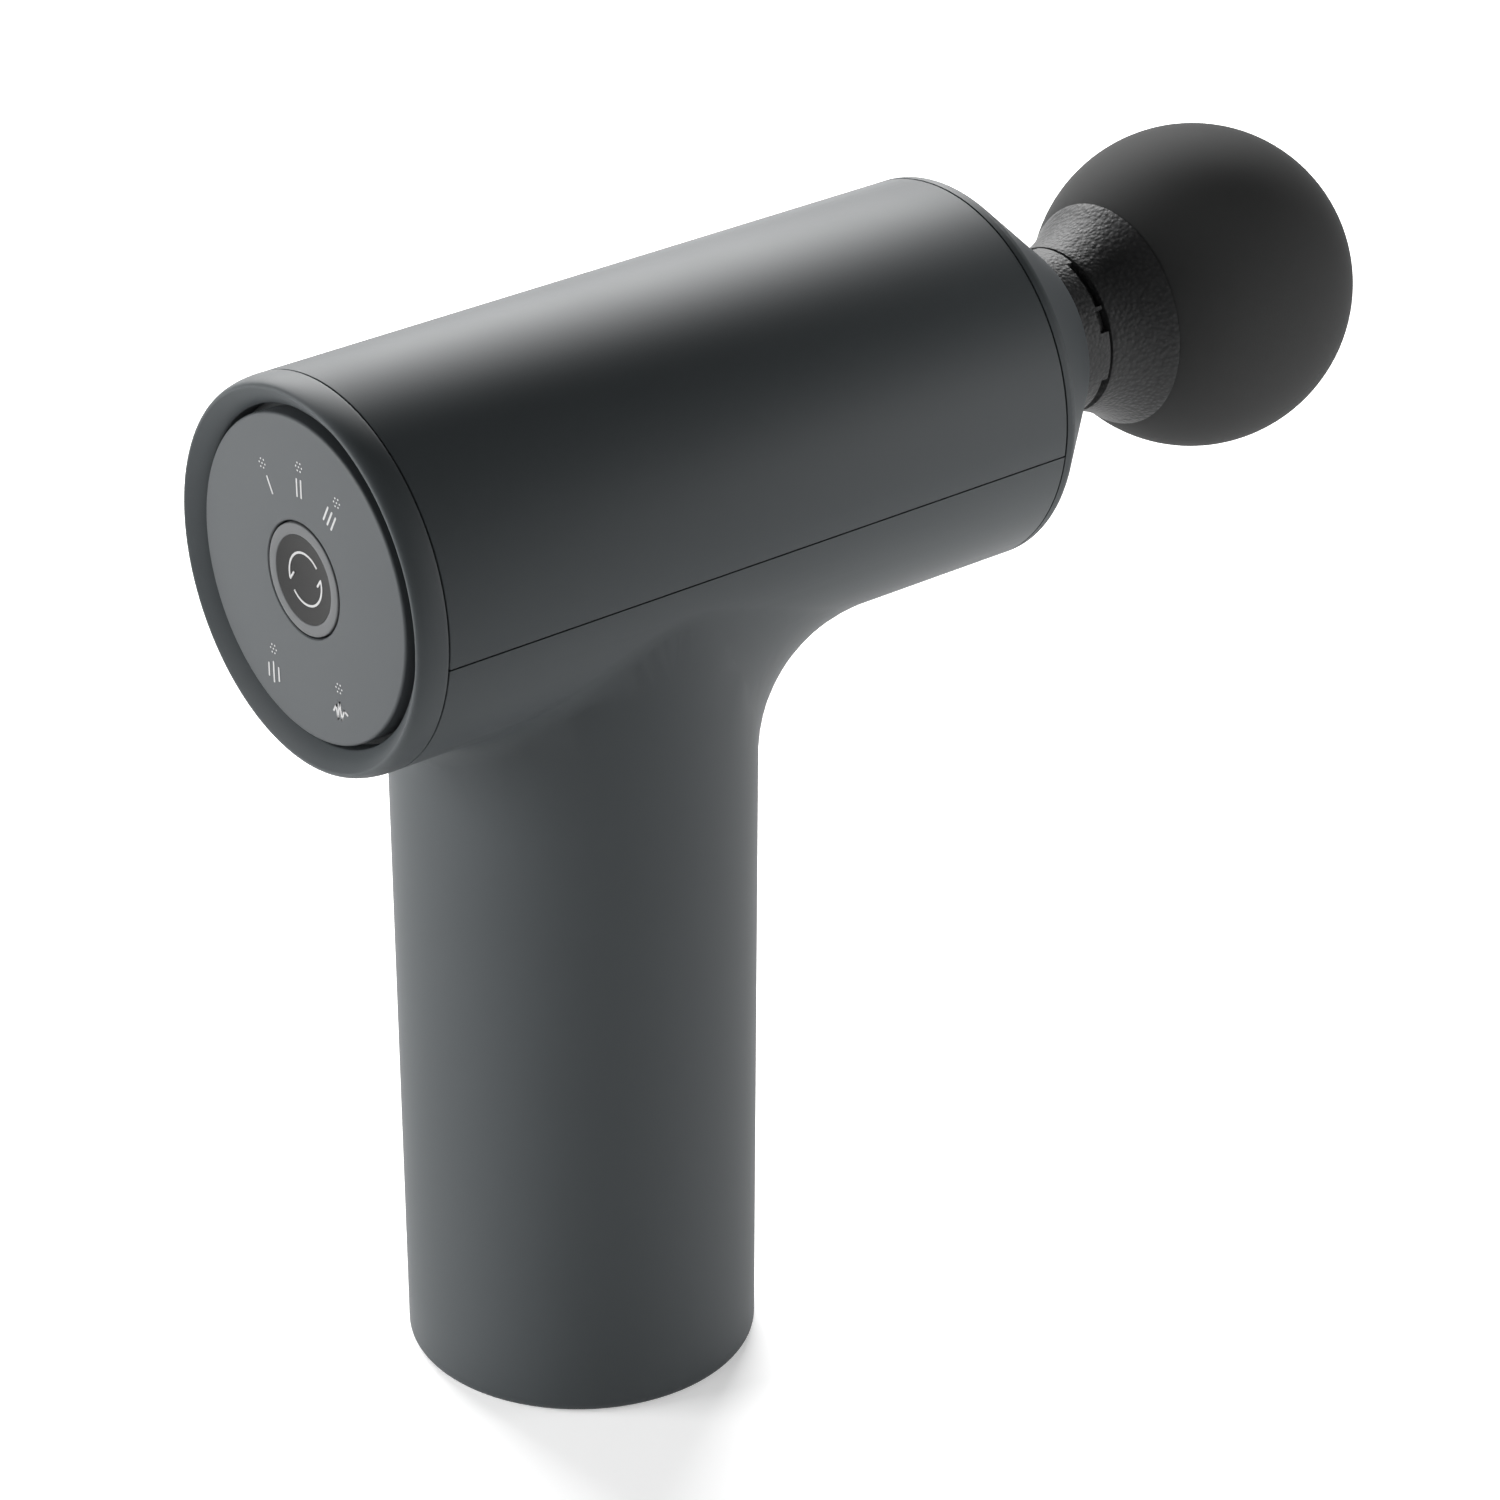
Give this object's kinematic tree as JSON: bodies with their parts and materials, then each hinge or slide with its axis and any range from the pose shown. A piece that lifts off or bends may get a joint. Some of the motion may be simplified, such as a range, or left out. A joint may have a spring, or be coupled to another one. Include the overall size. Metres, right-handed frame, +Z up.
{
  "type": "massage gun",
  "caption": "Handheld percussion massager: round upright handle under a cylindrical barrel, round rear control panel with push button, reciprocating drive and removable ball head.",
  "frame": {"origin": "centre of the flat base face of the handle", "axes": "+X along the barrel towards the ball head, +Z up along the handle, +Y to the left"},
  "size_m": [0.1547, 0.047, 0.1361],
  "materials": {
    "soft_body": "matt soft-touch moulding, fine grain",
    "panel": "satin printed panel",
    "light_window": "frosted light pipe",
    "button_ring": "satin light grey ring",
    "button_cap": "satin dark cap",
    "circuit_board": "green solder mask",
    "black_plastic": "moulded component bodies",
    "inner_plastic": "unpainted moulding",
    "steel": "machined or stamped steel",
    "bearing_steel": "ground bearing steel or bright plating",
    "magnet": "nickel plated magnets",
    "copper": "enamelled copper wire",
    "brass": "sintered bronze",
    "aluminium": "die cast",
    "black_textured": "spark-eroded texture",
    "black_rubber": "moulded rubber",
    "ball_rubber": "matt closed-cell elastomer skin",
    "cell_wrap": "shrink sleeve",
    "foam": "closed-cell foam",
    "lead_red": "insulated lead",
    "lead_black": "insulated lead"
  },
  "bodies": {
    "housing": {"handle_housing": "soft_body", "upper_cover": "soft_body", "nose_ring": "soft_body", "rear_bezel": "soft_body", "control_panel": "panel", "panel_windows": "light_window", "control_board": "circuit_board", "light_emitters": "light_window", "button_switch": "black_plastic", "control_chips": "black_plastic", "board_screws": "steel", "stator_core": "steel", "stator_windings": "copper", "motor_bearings": "bearing_steel", "motor_bracket": "aluminium", "bracket_screws": "steel", "guide_bush": "brass", "guide_plate": "aluminium", "nose_screws": "steel", "front_seal": "black_rubber", "seal_retainer": "steel", "base_cap": "soft_body", "charging_socket": "bearing_steel", "base_screws": "steel", "main_board": "circuit_board", "board_parts": "black_plastic", "battery_cells": "cell_wrap", "battery_tabs": "bearing_steel", "battery_holder": "inner_plastic", "battery_pad": "foam", "battery_leads": "lead_red", "motor_leads": "lead_black", "control_lead": "lead_black"},
    "rotor": {"rotor_can": "steel", "rotor_magnets": "magnet", "motor_shaft": "steel", "crank_disc": "steel", "crank_pin": "steel"},
    "rod": {"connecting_rod": "aluminium", "rod_bearings": "bearing_steel", "wrist_pin": "steel"},
    "drive": {"drive_piston": "aluminium", "drive_sleeve": "black_textured"},
    "head": {"head_base": "black_textured", "massage_ball": "ball_rubber", "stem_rings": "black_rubber"},
    "button": {"button_ring": "button_ring", "button_cap": "button_cap"}
  },
  "joints": [
    {"name": "motor_spin", "type": "hinge", "parent": "housing", "child": "rotor", "pos_m": [-0.0025, 0, 0.1126], "axis": [0, 1, 0], "continuous": true},
    {"name": "rod_swing", "type": "hinge", "parent": "rotor", "child": "rod", "pos_m": [-0.0025, 0, 0.1161], "axis": [0, 1, 0], "continuous": true},
    {"name": "head_stroke", "type": "slide", "parent": "housing", "child": "drive", "axis": [1, 0, 0], "range_m": [-0.0035, 0.0035]},
    {"name": "head_pull_off", "type": "slide", "parent": "drive", "child": "head", "axis": [1, 0, 0], "range_m": [0, 0.03]},
    {"name": "button_press", "type": "slide", "parent": "housing", "child": "button", "axis": [1, 0, 0], "range_m": [0, 0.0004], "stiffness_N_per_m": 1500}
  ],
  "couplings": [
    {"joint": "rod_swing", "follows": "motor_spin", "ratio": -1}
  ]
}
